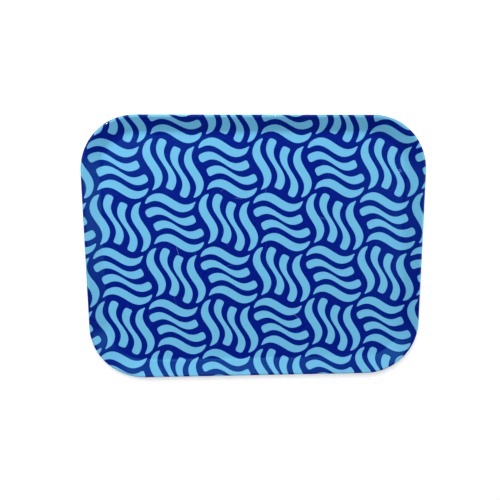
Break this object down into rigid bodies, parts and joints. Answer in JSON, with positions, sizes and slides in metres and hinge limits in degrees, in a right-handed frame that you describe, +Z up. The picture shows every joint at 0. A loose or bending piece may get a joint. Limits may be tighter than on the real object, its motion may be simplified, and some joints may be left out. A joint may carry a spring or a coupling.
{
  "type": "serving tray",
  "caption": "Rectangular pressed-tin serving tray with rounded corners, a shallow sloping wall and a rolled rim stiffened by a wire.",
  "frame": {"origin": "middle of the floor's underside, on the surface that the tray rests on", "axes": "+Z up out of the tray, X along the long sides, Y along the short sides"},
  "size_m": [0.343, 0.267, 0.0115],
  "materials": {
    "printed_tin": "printed in two blues under a gloss varnish",
    "wire": "drawn, bare"
  },
  "bodies": {
    "root": {"pan": "printed_tin", "rim_wire": "wire"}
  },
  "joints": []
}
